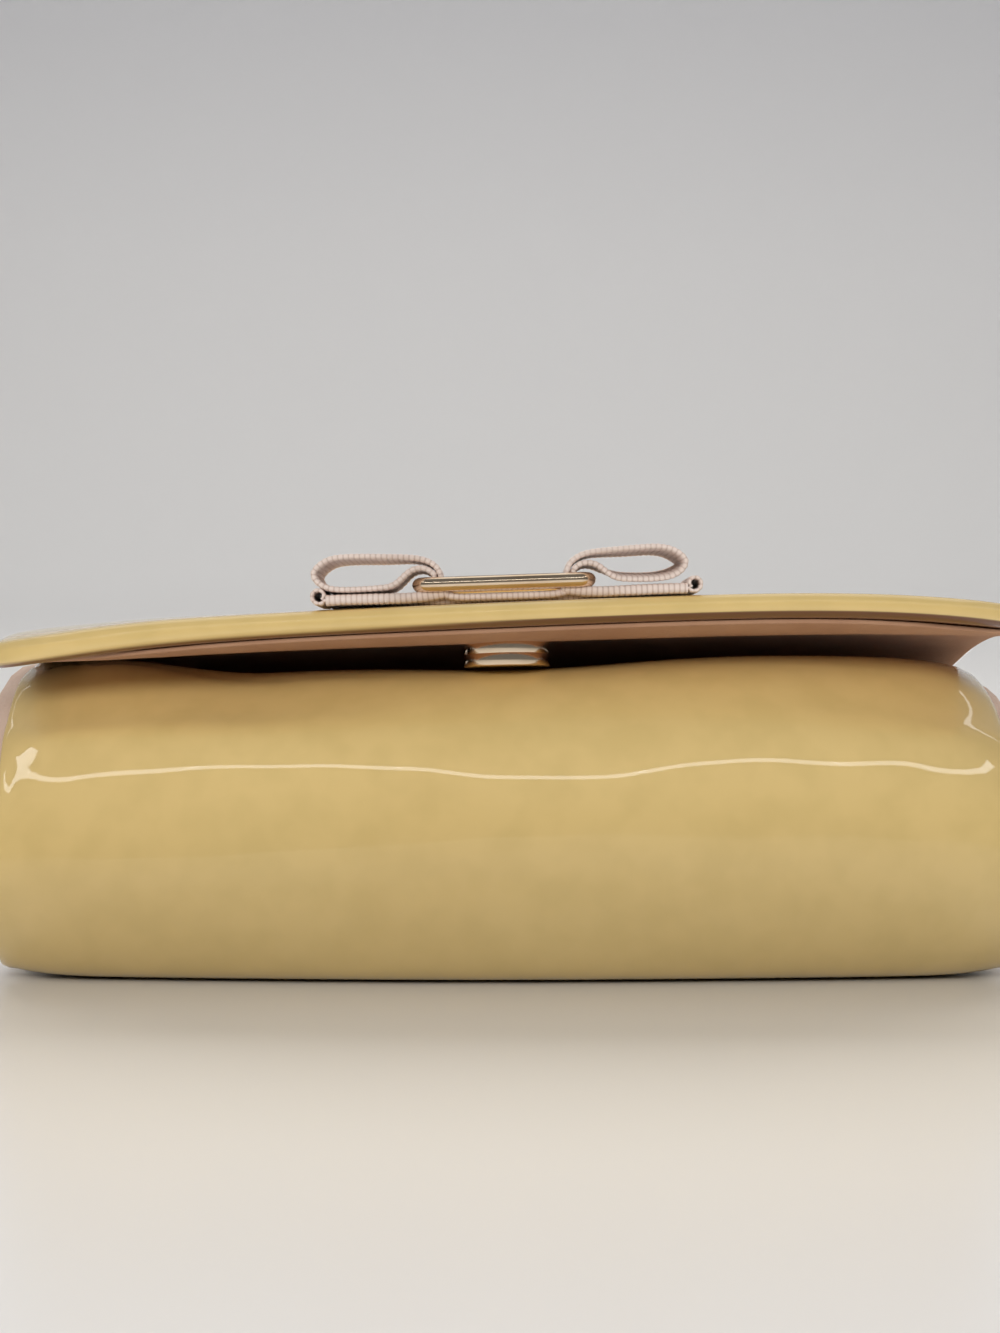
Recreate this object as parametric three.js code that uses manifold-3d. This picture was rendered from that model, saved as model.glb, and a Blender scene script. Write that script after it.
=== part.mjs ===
// A small chain shoulder bag in patent leather, lying on its back with the flap snapped shut.
// Millimetres, +Z up. X runs across the bag, -Y is towards its bottom and +Y towards its mouth.
// The origin is the middle of the back panel's flat underside, which lies on the table.
import * as THREE from "three";
import { mergeVertices } from "three/addons/utils/BufferGeometryUtils.js";
import Module from "manifold-3d";

const wasm = await Module();
wasm.setup();

// Body
const BAG_WIDTH = 190;
const BAG_HEIGHT = 107;
const BAG_DEPTH = 60;
const LEATHER = 2; // wall of the body
const GAP = 0.3; // left between pieces that lie on each other
const PANEL_DROP = 8.6; // the front panel's fall from its crown to the mouth
const BOTTOM_Y = -BAG_HEIGHT / 2;
const MOUTH_Y = BAG_HEIGHT / 2;

// The body's section at stations across its width. "at" is a share of the half width, recess, upper and
// lower are shares of the bag's height, and crown, waist and lift are shares of its depth: how far the
// bottom's bulge draws back, how far the rounding reaches along the front and the back panel, the front
// panel's highest line, the height of the bulge's nose, and how far the back panel leaves the table.
const SECTIONS = [
  { at: -1.0, recess: 0.065, upper: 0.6, lower: 0.12, crown: 0.95, waist: 0.42, lift: 0.03 },
  { at: -0.94, recess: 0.05, upper: 0.47, lower: 0.11, crown: 0.947, waist: 0.42, lift: 0.01 },
  { at: -0.86, recess: 0.036, upper: 0.38, lower: 0.11, crown: 0.943, waist: 0.43, lift: 0 },
  { at: -0.6, recess: 0.018, upper: 0.3, lower: 0.1, crown: 0.953, waist: 0.44, lift: 0 },
  { at: -0.3, recess: 0.006, upper: 0.25, lower: 0.09, crown: 0.978, waist: 0.45, lift: 0 },
  { at: 0.05, recess: 0.0, upper: 0.22, lower: 0.09, crown: 0.978, waist: 0.44, lift: 0 },
  { at: 0.4, recess: 0.008, upper: 0.25, lower: 0.1, crown: 1.017, waist: 0.46, lift: 0 },
  { at: 0.7, recess: 0.024, upper: 0.27, lower: 0.11, crown: 1.017, waist: 0.45, lift: 0 },
  { at: 0.88, recess: 0.042, upper: 0.33, lower: 0.12, crown: 1.0, waist: 0.43, lift: 0 },
  { at: 0.96, recess: 0.055, upper: 0.43, lower: 0.12, crown: 0.98, waist: 0.42, lift: 0.014 },
  { at: 1.0, recess: 0.065, upper: 0.56, lower: 0.13, crown: 0.958, waist: 0.41, lift: 0.03 },
];

// Gussets: pale leather ends, folded inwards, whose turned rim shows past the panels
const GUSSET_LEATHER = 1.5;
const RIM_OUT = 2.5; // how far the rim stands out past the panels
const RIM_WIDTH = 12;
const FOLD_DEPTH = 22; // of the fold at the mouth
const GUSSET_SHORT = 2; // how far the gusset stops inside the mouth
const CURL = 5; // how far the left rim curls up past the front panel
const CURL_AT = 0.4; // where it curls most, as a share of the bag's height
const CURL_REACH = 0.25; // and how far from there, as another

// Flap
const FLAP_OVER = 2; // how far each side of the flap stands out past the body
const FLAP_WIDTH = BAG_WIDTH + 2 * FLAP_OVER;
const FLAP_SHORT = 6; // how far the free edge stops behind the bottom's bulge
const EDGE_ROUND = 2.5; // how far in the turned edge is rounded
const FLAP_THICK = 5; // padded leather with a turned edge
const STRIP_THICK = 2.2; // the strip that wraps over the mouth
const STRIP_CLEAR = 5.5; // from the strip's side to the gusset
const FLAP_CORNER = 12;
const LAP = 12; // sewn inside the back panel
const STRIP_OUT = 7.5; // how far the strip stands clear of the mouth
const LOWER_BEND = 5.5;
const UPPER_BEND = 7;
const FLAP_TWIST = 0.0435; // slope from left to right at the free edge
const TWIST_CURVE = 1.7; // the twist grows faster towards that edge
const CORNER_DROOP = 5.2; // of the flap's front corners

const HINGE_ABOVE = 4.5; // the flap's inner side above the front panel at the mouth
const EDGE_LIFT = 0.8; // the free edge above the flap's height on the snap

// How much of the flap's rise over the bag is done, by share of the way from hinge to free edge
const FLAP_LINE = [
  { at: 0, rise: 0 },
  { at: 0.17, rise: 0.13 },
  { at: 0.33, rise: 0.37 },
  { at: 0.5, rise: 0.68 },
  { at: 0.66, rise: 0.87 },
  { at: 0.78, rise: 0.975 },
  { at: 1, rise: 1 },
];
const LINING = 1;

// Magnetic snap
const SNAP_RADIUS = 8.3;
const SNAP_HEIGHT = 2.3; // of each half
const SNAP_INSET = 26; // its centre from the bottom's bulge
const SNAP_PEG = 3.4; // radius
const PEG_HEIGHT = 0.9;

// Bow
const BOW_HALF = 36.6; // to the end of a tail
const LOOP_REACH = { left: 36.2, right: 33.9 };
const RIBBON = 1.1;
const RIBBON_HALF = 12.4; // half the ribbon's width where it lies open
const BOW_INSET = 0.8; // from the flap's free edge to the ribbon's
const TAIL_THICK = 1.5;
const HEM_RADIUS = 1.35;
const BAND_THICK = 1.5;
const BUCKLE_LENGTH = 34.4;
const BUCKLE_WIDTH = 17;
const BUCKLE_CORNER = 3.4;
const BUCKLE_THICK = 2.8;
const BUCKLE_OFFSET = -0.4;
const END_BAR = 3.3;
const SLOT = 3.8;
const SLOT_END_WALL = 1.6; // beside each end of a slot
const SLOT_CLEAR = 0.4; // from the gathered ribbon to each end of a slot

// Chain and its fittings
const RING_WIRE = 1.1; // radius
const TAB_WIDTH = 9;
const TAB_THICK = 2.4;
const TAB_IN = 2.5; // the tab's middle from the body's side
const TAB_SEWN = 17.5; // how far the tab reaches in from the mouth
const RING_WIDTH = TAB_WIDTH + 6;
const RING_LENGTH = 12.5;
const TAB_REACH = 6; // the ring's bar beyond the mouth
const LOOP_LEATHER = 1.2;
const CHAIN_RADIUS = 3;
const CHAIN_LEG = 190; // one leg of the way it is laid

const clamp = THREE.MathUtils.clamp;
const lerp = THREE.MathUtils.lerp;

// A column of a table at a station, on a smooth curve through its rows
function along(rows, at, column) {
  const next = clamp(rows.findIndex((row) => row.at >= at), 1, rows.length - 1);
  const [a, b] = [rows[next - 1], rows[next]];
  const before = rows[next - 2] ?? a;
  const after = rows[next + 1] ?? b;
  const span = b.at - a.at;
  const slopeA = ((b[column] - before[column]) / (b.at - before.at)) * span;
  const slopeB = ((after[column] - a[column]) / (after.at - a.at)) * span;
  const t = (at - a.at) / span;
  const hermite = (t ** 3 - 2 * t * t + t) * slopeA + (t ** 3 - t * t) * slopeB;
  return a[column] + (b[column] - a[column]) * (3 * t * t - 2 * t ** 3) + hermite;
}

// A closed wall: a box of across x down cells whose corners "place" moves, given shares u and v and side w
function wall(across, down, place) {
  const box = new THREE.BoxGeometry(1, 1, 1, across, down, 1);
  const spot = box.attributes.position;
  for (let i = 0; i < spot.count; i++) {
    const moved = place(spot.getX(i) + 0.5, spot.getY(i) + 0.5, spot.getZ(i) + 0.5);
    spot.setXYZ(i, moved.x, moved.y, moved.z);
  }
  return volume(box) < 0 ? reversed(box) : box;
}

function volume(geometry) {
  const [a, b, c] = [new THREE.Vector3(), new THREE.Vector3(), new THREE.Vector3()];
  const spot = geometry.attributes.position;
  let sum = 0;
  for (let i = 0; i < geometry.index.count; i += 3) {
    a.fromBufferAttribute(spot, geometry.index.getX(i));
    b.fromBufferAttribute(spot, geometry.index.getX(i + 1));
    c.fromBufferAttribute(spot, geometry.index.getX(i + 2));
    sum += a.dot(b.cross(c)) / 6;
  }
  return sum;
}

function reversed(geometry) {
  geometry.setIndex(Array.from(geometry.index.array).reverse());
  return geometry;
}

// A closed ring of round wire along a flat closed path in its own X-Y plane
function wireRing(path, radius, sides, steps) {
  const ring = new THREE.TorusGeometry(1, 0.1, sides, steps);
  const spot = ring.attributes.position;
  for (let i = 0; i < spot.count; i++) {
    const turn = (Math.floor(i / (steps + 1)) / sides) * 2 * Math.PI;
    const share = (i % (steps + 1)) / steps;
    const centre = path.getPointAt(share % 1);
    const way = path.getTangentAt(share % 1);
    const out = radius * Math.cos(turn);
    spot.setXYZ(i, centre.x + way.y * out, centre.y - way.x * out, radius * Math.sin(turn));
  }
  return ring;
}

function solidOf(geometry) {
  const bare = new THREE.BufferGeometry();
  const whole = geometry.index ? geometry.toNonIndexed() : geometry;
  bare.setAttribute("position", whole.getAttribute("position"));
  const merged = mergeVertices(bare, 1e-3);
  const vertProperties = merged.attributes.position.array;
  const triVerts = new Uint32Array(merged.index.array);
  return new wasm.Manifold(new wasm.Mesh({ numProp: 3, vertProperties, triVerts }));
}

function fromSolid(solid) {
  const mesh = solid.getMesh();
  const geometry = new THREE.BufferGeometry();
  geometry.setAttribute("position", new THREE.BufferAttribute(mesh.vertProperties, 3));
  geometry.setIndex(new THREE.BufferAttribute(mesh.triVerts, 1));
  return geometry;
}

function joined(...geometries) {
  return fromSolid(geometries.map(solidOf).reduce((all, one) => all.add(one)));
}

function cut(geometry, ...tools) {
  return fromSolid(tools.map(solidOf).reduce((rest, tool) => rest.subtract(tool), solidOf(geometry)));
}

// The body's outer line in a section, from the mouth along the back, round the bottom and along the front
const BACK_STEPS = 4;
const LOWER_STEPS = 6;
const UPPER_STEPS = 8;
const FRONT_STEPS = 5;
const PROFILE_STEPS = BACK_STEPS + LOWER_STEPS + UPPER_STEPS + FRONT_STEPS;
const PANEL_BOW = 1.15; // the front panel falls gently at first

function sectionLine(x) {
  const at = clamp(x / (BAG_WIDTH / 2), -1, 1);
  const size = (column, whole) => along(SECTIONS, at, column) * whole;
  const lift = Math.max(0, size("lift", BAG_DEPTH));
  const noseY = BOTTOM_Y + Math.max(0, size("recess", BAG_HEIGHT));
  const noseZ = size("waist", BAG_DEPTH);
  const crownZ = size("crown", BAG_DEPTH);
  const lower = size("lower", BAG_HEIGHT);
  const upper = size("upper", BAG_HEIGHT);
  const line = [];
  for (let i = 0; i < BACK_STEPS; i++)
    line.push({ y: lerp(MOUTH_Y, noseY + lower, i / BACK_STEPS), z: lift });
  for (let i = 0; i < LOWER_STEPS; i++) {
    const turn = ((i / LOWER_STEPS) * Math.PI) / 2;
    line.push({
      y: noseY + lower * (1 - Math.sin(turn)),
      z: lift + (noseZ - lift) * (1 - Math.cos(turn)),
    });
  }
  for (let i = 0; i < UPPER_STEPS; i++) {
    const turn = ((i / UPPER_STEPS) * Math.PI) / 2;
    line.push({
      y: noseY + upper * (1 - Math.cos(turn)),
      z: noseZ + (crownZ - noseZ) * Math.sin(turn),
    });
  }
  for (let i = 0; i <= FRONT_STEPS; i++) {
    const share = i / FRONT_STEPS;
    line.push({
      y: lerp(noseY + upper, MOUTH_Y, share),
      z: crownZ - PANEL_DROP * share ** PANEL_BOW,
    });
  }
  return line;
}

// The same line moved towards the bag's inside
function insetLine(line, distance) {
  return line.map((point, i) => {
    const before = line[Math.max(i - 1, 0)];
    const after = line[Math.min(i + 1, line.length - 1)];
    const length = Math.hypot(after.y - before.y, after.z - before.z);
    return {
      y: point.y + ((after.z - before.z) / length) * distance,
      z: point.z - ((after.y - before.y) / length) * distance,
    };
  });
}

function pointOn(line, share) {
  return line[Math.round(share * (line.length - 1))];
}

function panelHeight(x, y) {
  const line = sectionLine(x);
  const nose = BACK_STEPS + LOWER_STEPS;
  const i = line.findIndex((point, n) => n > nose && (point.y >= y || n === line.length - 1));
  const [a, b] = [line[i - 1], line[i]];
  return lerp(a.z, b.z, clamp((y - a.y) / (b.y - a.y), 0, 1));
}

// Stations across the body, closer together where its ends round off
const ACROSS = 18;
const CROWDING = 0.43;
const STATIONS = Array.from({ length: ACROSS + 1 }, (_, i) => {
  const turn = (i / ACROSS - 0.5) * 2 * Math.PI * CROWDING;
  return (Math.sin(turn) / Math.sin(Math.PI * CROWDING)) * (BAG_WIDTH / 2);
});

function bodyShell() {
  return wall(ACROSS, PROFILE_STEPS, (u, v, w) => {
    const x = STATIONS[Math.round(u * ACROSS)];
    const outside = sectionLine(x);
    const line = w > 0.5 ? outside : insetLine(outside, LEATHER);
    const { y, z } = pointOn(line, v);
    return { x, y, z };
  });
}

const RIM_OUTER = LEATHER + 1.4 * GAP;
const RIM_X = BAG_WIDTH / 2 + RIM_OUT;
const WEB_X = RIM_X - RIM_WIDTH;
const WEB_END_Y = MOUTH_Y - GUSSET_SHORT;
const FOLD_CURVE = 1.3; // the fold deepens faster towards the mouth

function foldDepth(y) {
  const share = clamp((y - BOTTOM_Y) / (WEB_END_Y - BOTTOM_Y), 0, 1);
  return FOLD_DEPTH * share ** FOLD_CURVE;
}

// The gusset's rim, under the panels' side edges all the way round, at the body's own stations
const RIM_COLUMNS = [WEB_X, ...STATIONS.filter((x) => x > WEB_X + 1), RIM_X];

// Past the front panel the left rim curls up
function rimCurl(side, y) {
  const from = (y - BOTTOM_Y) / BAG_HEIGHT - CURL_AT;
  return side < 0 ? CURL * Math.max(0, 1 - (from / CURL_REACH) ** 2) : 0;
}

function gussetRim(side) {
  const last = RIM_COLUMNS.length - 1;
  const frontStart = (PROFILE_STEPS - FRONT_STEPS - 0.5) / PROFILE_STEPS;
  return wall(last, PROFILE_STEPS, (u, v, w) => {
    const column = Math.round((side > 0 ? u : 1 - u) * last);
    const x = side * RIM_COLUMNS[column];
    const line = insetLine(sectionLine(x), RIM_OUTER + (w > 0.5 ? 0 : GUSSET_LEATHER));
    const { y, z } = pointOn(line, v);
    const curl = column === last && v > frontStart ? rimCurl(side, y) : 0;
    return { x, y: Math.min(y, WEB_END_Y), z: z + curl };
  });
}

// The gusset's web: it closes the bag's end and folds inwards, deepest at the mouth
function gussetWeb(side) {
  const rim = insetLine(sectionLine(side * WEB_X), RIM_OUTER + GUSSET_LEATHER / 2);
  const nose = rim[BACK_STEPS + LOWER_STEPS];
  const back = rim.slice(0, BACK_STEPS + LOWER_STEPS + 1).reverse();
  const front = rim.slice(BACK_STEPS + LOWER_STEPS);
  const heightOn = (half, y) => {
    const i = clamp(half.findIndex((point) => point.y >= y), 1, half.length - 1);
    const [a, b] = [half[i - 1], half[i]];
    return lerp(a.z, b.z, clamp((y - a.y) / (b.y - a.y), 0, 1));
  };
  const startY = nose.y + GUSSET_LEATHER * 0.4;
  const [alongSteps, upSteps] = [11, 8];
  const [alongCrowding, tentCurve] = [1.7, 1.5];
  return wall(alongSteps, upSteps, (u, v, w) => {
    const y = lerp(startY, WEB_END_Y, u ** alongCrowding);
    const z = lerp(heightOn(back, y), heightOn(front, y), v);
    const tent = 1 - Math.abs(2 * v - 1) ** tentCurve;
    const outside = WEB_X + GUSSET_LEATHER - foldDepth(y) * tent;
    const outer = side > 0 ? w < 0.5 : w > 0.5;
    return { x: side * (outer ? outside : outside - GUSSET_LEATHER), y, z };
  });
}

// The flap's underside in a section: lap, bend up, strip, bend over, then out over the front panel
const HINGE_Z = BAG_DEPTH - PANEL_DROP + HINGE_ABOVE;
const SNAP_Y = BOTTOM_Y + SNAP_INSET;
const FREE_Z = panelHeight(0, SNAP_Y) + 2 * SNAP_HEIGHT + LINING + 3 * GAP + EDGE_LIFT;
const STRIP_Y = MOUTH_Y + STRIP_OUT;
const STRIP_HALF = WEB_X - STRIP_CLEAR;
const HINGE_Y = STRIP_Y - UPPER_BEND;
const FLAP_EDGE_Y = BOTTOM_Y + FLAP_SHORT;
const LAP_Z = LEATHER + GAP + STRIP_THICK;
const FLAP_LENGTH = HINGE_Y - FLAP_EDGE_Y;

// The inner side's height at x and a share of the way from hinge to free edge: it rises, twists, and droops
// at its corners
function flapHeight(x, share) {
  const side = x / (FLAP_WIDTH / 2);
  const twist = FLAP_TWIST * x * share ** TWIST_CURVE;
  const droop = CORNER_DROOP * side ** 4 * share ** 2;
  return lerp(HINGE_Z, FREE_Z, along(FLAP_LINE, share, "rise")) + twist - droop;
}

// How far the flap's rounded corner draws back at x
function cornerBack(x) {
  const past = Math.max(0, Math.abs(x) - (FLAP_WIDTH / 2 - FLAP_CORNER));
  return FLAP_CORNER - Math.sqrt(Math.max(0, FLAP_CORNER ** 2 - past ** 2));
}

// Rows of the flap from its sewn end to its free edge. Each gives where the leather's inner side runs,
// which way is out, and how thick and wide the leather is there; "edge" is the distance to the free edge.
const EDGE_STEPS = [1, 0.45, 0.12, 0].map((share) => share * EDGE_ROUND);
const BEND_STEPS = 4;
const OVER_STEPS = 8;

function flapRows() {
  const rows = [];
  const flat = (y, z, ny, nz, thick = STRIP_THICK, half = STRIP_HALF) =>
    rows.push({ at: () => ({ y, z }), ny, nz, thick, half, edge: Infinity });
  flat(MOUTH_Y - LAP, LAP_Z, 0, -1);
  flat(MOUTH_Y - LAP / 2, LAP_Z, 0, -1);
  const bendTop = LAP_Z + LOWER_BEND;
  for (let i = 0; i <= BEND_STEPS; i++) {
    const turn = ((i / BEND_STEPS) * Math.PI) / 2;
    const [ny, nz] = [Math.sin(turn), -Math.cos(turn)];
    flat(STRIP_Y - LOWER_BEND * (1 - ny), bendTop + LOWER_BEND * nz, ny, nz);
  }
  const hingeLow = HINGE_Z - UPPER_BEND;
  flat(STRIP_Y, (bendTop + hingeLow) / 2, 1, 0);
  for (let i = 0; i <= BEND_STEPS; i++) {
    const share = i / BEND_STEPS;
    const turn = (share * Math.PI) / 2;
    const [ny, nz] = [Math.cos(turn), Math.sin(turn)];
    const thick = lerp(STRIP_THICK, FLAP_THICK, share ** 2);
    const half = lerp(STRIP_HALF, FLAP_WIDTH / 2, share);
    flat(STRIP_Y - UPPER_BEND * (1 - ny), hingeLow + UPPER_BEND * nz, ny, nz, thick, half);
  }
  const over = (edge, reach) =>
    rows.push({
      at: (x) => {
        const run = reach(FLAP_LENGTH - cornerBack(x));
        return { y: HINGE_Y - run, z: flapHeight(x, run / FLAP_LENGTH) };
      },
      ny: 0,
      nz: 1,
      thick: FLAP_THICK,
      half: FLAP_WIDTH / 2,
      edge,
    });
  for (let i = 1; i < OVER_STEPS; i++) over(Infinity, (length) => ((length - EDGE_ROUND) * i) / OVER_STEPS);
  for (const edge of EDGE_STEPS) over(edge, (length) => length - edge);
  return rows;
}

const FLAP_ROWS = flapRows();

// Columns of the flap: its rounded side edges, then shares of its half width
const halfColumns = [
  ...EDGE_STEPS.map((inset) => ({ share: 1 - (2 * inset) / FLAP_WIDTH, inset })).reverse(),
  ...[0.88, 0.73, 0.55, 0.32].map((share) => ({ share, inset: Infinity })),
];
const flapColumns = [
  ...halfColumns.map(({ share, inset }) => ({ share: -share, inset })),
  { share: 0, inset: Infinity },
  ...halfColumns.slice().reverse(),
];

// How much of its thickness a turned edge keeps at a distance from its end
const LEAST_KEPT = 0.3;

function edgeKeep(distance) {
  const share = clamp(distance / EDGE_ROUND, 0, 1);
  return Math.max(LEAST_KEPT, Math.sqrt(1 - (1 - share) ** 2));
}

function flap() {
  return wall(flapColumns.length - 1, FLAP_ROWS.length - 1, (u, v, w) => {
    const { share, inset } = flapColumns[Math.round(u * (flapColumns.length - 1))];
    const row = FLAP_ROWS[Math.round(v * (FLAP_ROWS.length - 1))];
    const x = share * row.half;
    const { y, z } = row.at(x);
    const keep = edgeKeep(Math.min(inset, row.edge));
    const out = (row.thick / 2) * (1 + (w > 0.5 ? keep : -keep));
    return { x, y: y + row.ny * out, z: z + row.nz * out };
  });
}

// The pale lining under the flap, from the strip to where the turned edge starts
const LINING_ACROSS = 10;
const FIRST_LINED = BEND_STEPS + 3;

function flapLining() {
  const rows = FLAP_ROWS.slice(FIRST_LINED, 1 - EDGE_STEPS.length);
  return wall(LINING_ACROSS, rows.length - 1, (u, v, w) => {
    const row = rows[Math.round(v * (rows.length - 1))];
    const x = (u - 0.5) * 2 * (row.half - EDGE_ROUND);
    const { y, z } = row.at(x);
    const out = -GAP - (w > 0.5 ? 0 : LINING);
    return { x, y: y + row.ny * out, z: z + row.nz * out };
  });
}

const bag = new THREE.Group();

function add(name, geometry, material, parent = bag) {
  const mesh = new THREE.Mesh(geometry, material);
  mesh.name = name;
  parent.add(mesh);
  return mesh;
}

const patent = new THREE.MeshStandardMaterial({ color: 0xcdaf72, roughness: 0.15, metalness: 0 });
const paleLeather = new THREE.MeshStandardMaterial({ color: 0xc9a595, roughness: 0.5, metalness: 0 });
const grosgrain = new THREE.MeshStandardMaterial({ color: 0xdcc8bd, roughness: 0.8, metalness: 0 });
const gold = new THREE.MeshStandardMaterial({ color: 0xd9b779, roughness: 0.2, metalness: 1 });

add("body_shell", bodyShell(), patent);
add("flap", flap(), patent);
add("flap_lining", flapLining(), paleLeather);
add("gusset_left", joined(gussetRim(-1), gussetWeb(-1)), paleLeather);
add("gusset_right", joined(gussetRim(1), gussetWeb(1)), paleLeather);

// Magnetic snap: both halves lie square to one line, half way between the panel's slope and the flap's
const SNAP_SHARE = (HINGE_Y - SNAP_Y) / FLAP_LENGTH;
const slope = (height) => (height(1) - height(-1)) / 2;
const panelSlopeX = slope((d) => panelHeight(d, SNAP_Y));
const panelSlopeY = slope((d) => panelHeight(0, SNAP_Y + d));
const flapSlopeX = slope((d) => flapHeight(d, SNAP_SHARE));
const flapSlopeY = slope((d) => flapHeight(0, SNAP_SHARE - d / FLAP_LENGTH));

const snap = new THREE.Group();
snap.position.set(0, SNAP_Y, (panelHeight(0, SNAP_Y) + flapHeight(0, SNAP_SHARE) - GAP - LINING) / 2);
snap.rotation.set(
  Math.atan((panelSlopeY + flapSlopeY) / 2),
  -Math.atan((panelSlopeX + flapSlopeX) / 2),
  0,
);
bag.add(snap);

const RIM_ROUND = 0.5;
const SNAP_SIDES = 28;

function disc(points) {
  const profile = points.map(([r, z]) => new THREE.Vector2(r, z));
  return new THREE.LatheGeometry(profile, SNAP_SIDES).rotateX(Math.PI / 2);
}

// The socket half on the front panel, with the hollow that takes the peg
const socketBase = -GAP / 2 - SNAP_HEIGHT;
add(
  "snap_socket",
  disc([
    [0, socketBase],
    [SNAP_RADIUS - RIM_ROUND, socketBase],
    [SNAP_RADIUS, socketBase + RIM_ROUND],
    [SNAP_RADIUS, -GAP / 2 - RIM_ROUND],
    [SNAP_RADIUS - RIM_ROUND, -GAP / 2],
    [SNAP_PEG + GAP, -GAP / 2],
    [SNAP_PEG + GAP, -GAP - PEG_HEIGHT],
    [0, -GAP - PEG_HEIGHT],
  ]),
  gold,
  snap,
);
add(
  "snap_stud",
  disc([
    [0, GAP / 2 - PEG_HEIGHT],
    [SNAP_PEG, GAP / 2 - PEG_HEIGHT],
    [SNAP_PEG, GAP / 2],
    [SNAP_RADIUS - RIM_ROUND, GAP / 2],
    [SNAP_RADIUS, GAP / 2 + RIM_ROUND],
    [SNAP_RADIUS, GAP / 2 + SNAP_HEIGHT - RIM_ROUND],
    [SNAP_RADIUS - RIM_ROUND, GAP / 2 + SNAP_HEIGHT],
    [0, GAP / 2 + SNAP_HEIGHT],
  ]),
  gold,
  snap,
);

// Bow, in a frame of its own on the flap's top: X along the bow, Z off the flap
const BOW_Y = FLAP_EDGE_Y + BOW_INSET + RIBBON_HALF;
const BOW_SHARE = (HINGE_Y - BOW_Y) / FLAP_LENGTH;
const bow = new THREE.Group();
bow.position.set(0, BOW_Y, flapHeight(0, BOW_SHARE) + FLAP_THICK + GAP);
bow.rotation.set(
  Math.atan(slope((d) => flapHeight(0, BOW_SHARE - d / FLAP_LENGTH))),
  -Math.atan(slope((d) => flapHeight(d, BOW_SHARE))),
  0,
);
bag.add(bow);

const WAIST_HALF = BUCKLE_WIDTH / 2 - SLOT_END_WALL - SLOT_CLEAR;

// The ribbon is gathered at the buckle and opens out towards the bow's ends
function ribbonHalf(x) {
  return lerp(WAIST_HALF, RIBBON_HALF, THREE.MathUtils.smoothstep(Math.abs(x), 13, 25));
}

// A ribbon that follows a line in the bow's X-Z plane
function ribbon(points, thick, steps) {
  const curve = new THREE.SplineCurve(points.map(([x, z]) => new THREE.Vector2(x, z)));
  return wall(steps, 2, (u, v, w) => {
    const centre = curve.getPoint(u);
    const way = curve.getTangent(u);
    const out = (w - 0.5) * thick;
    const y = (v - 0.5) * 2 * ribbonHalf(centre.x);
    return { x: centre.x - way.y * out, y, z: centre.y + way.x * out };
  });
}

const BAR_INNER = BUCKLE_LENGTH / 2 - END_BAR;
const BUCKLE_BASE = BAND_THICK + 1.5 * GAP;
const BUCKLE_TOP = BUCKLE_BASE + BUCKLE_THICK;
const OVER_BAR = BUCKLE_TOP + GAP + RIBBON / 2;
const TAIL_TOP = TAIL_THICK + GAP;
const UNDER_LOOP = TAIL_TOP + GAP + RIBBON / 2;
const LOOP_TOP = 8.7;

// One loop: out of the buckle's slot, out along the top, round the end, back over the end bar and in again
function bowLoop(side, reach) {
  const bar = BAR_INNER + side * BUCKLE_OFFSET; // the end bar's inner face from the bow's middle
  const inner = bar - GAP - RIBBON / 2;
  const outer = inner - GAP - RIBBON;
  const points = [
    [outer, BUCKLE_BASE + 0.6],
    [outer, BUCKLE_TOP],
    [outer + 1.1, LOOP_TOP - 1.9],
    [outer + 4.4, LOOP_TOP - 0.4],
    [outer + 12, LOOP_TOP - 0.1],
    [reach - 5, LOOP_TOP],
    [reach - 1.7, LOOP_TOP - 1],
    [reach - 0.6, (LOOP_TOP + UNDER_LOOP) / 2],
    [reach - 1.9, UNDER_LOOP + 0.9],
    [reach - 5, UNDER_LOOP],
    [bar + 10, UNDER_LOOP],
    [bar + 6.8, UNDER_LOOP + 0.8],
    [bar + 3.6, OVER_BAR + 0.5],
    [bar + 1, OVER_BAR + 0.9],
    [inner + 0.1, BUCKLE_TOP + 0.8],
    [inner, BUCKLE_TOP - 0.4],
    [inner, BUCKLE_BASE + 0.6],
  ];
  return ribbon(side > 0 ? points.reverse() : points.map(([x, z]) => [-x, z]), RIBBON, 48);
}

// One tail: flat on the flap, with a rolled hem at its end
function bowTail(side) {
  const start = BAR_INNER - SLOT / 2 + side * BUCKLE_OFFSET;
  const end = BOW_HALF - HEM_RADIUS;
  const flat = wall(10, 2, (u, v, w) => {
    const reach = lerp(start, end, side > 0 ? u : 1 - u);
    return {
      x: side * reach,
      y: (v - 0.5) * 2 * ribbonHalf(reach),
      z: GAP / 2 + w * TAIL_THICK,
    };
  });
  const hem = new THREE.CylinderGeometry(HEM_RADIUS, HEM_RADIUS, 2 * RIBBON_HALF, 10);
  return joined(flat, hem.translate(side * end, 0, GAP / 2 + HEM_RADIUS));
}

function bowBand() {
  const half = BAR_INNER - SLOT / 2 - Math.abs(BUCKLE_OFFSET) - GAP;
  const band = new THREE.BoxGeometry(2 * half, 2 * WAIST_HALF, BAND_THICK);
  return band.translate(0, 0, (GAP + BAND_THICK) / 2);
}

function roundedPlate(length, width, corner) {
  const shape = new THREE.Shape();
  const [x, y] = [length / 2, width / 2];
  shape.moveTo(-x + corner, -y).lineTo(x - corner, -y);
  shape.absarc(x - corner, -y + corner, corner, -Math.PI / 2, 0, false);
  shape.absarc(x - corner, y - corner, corner, 0, Math.PI / 2, false);
  shape.absarc(-x + corner, y - corner, corner, Math.PI / 2, Math.PI, false);
  shape.absarc(-x + corner, -y + corner, corner, Math.PI, 1.5 * Math.PI, false);
  return shape;
}

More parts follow.
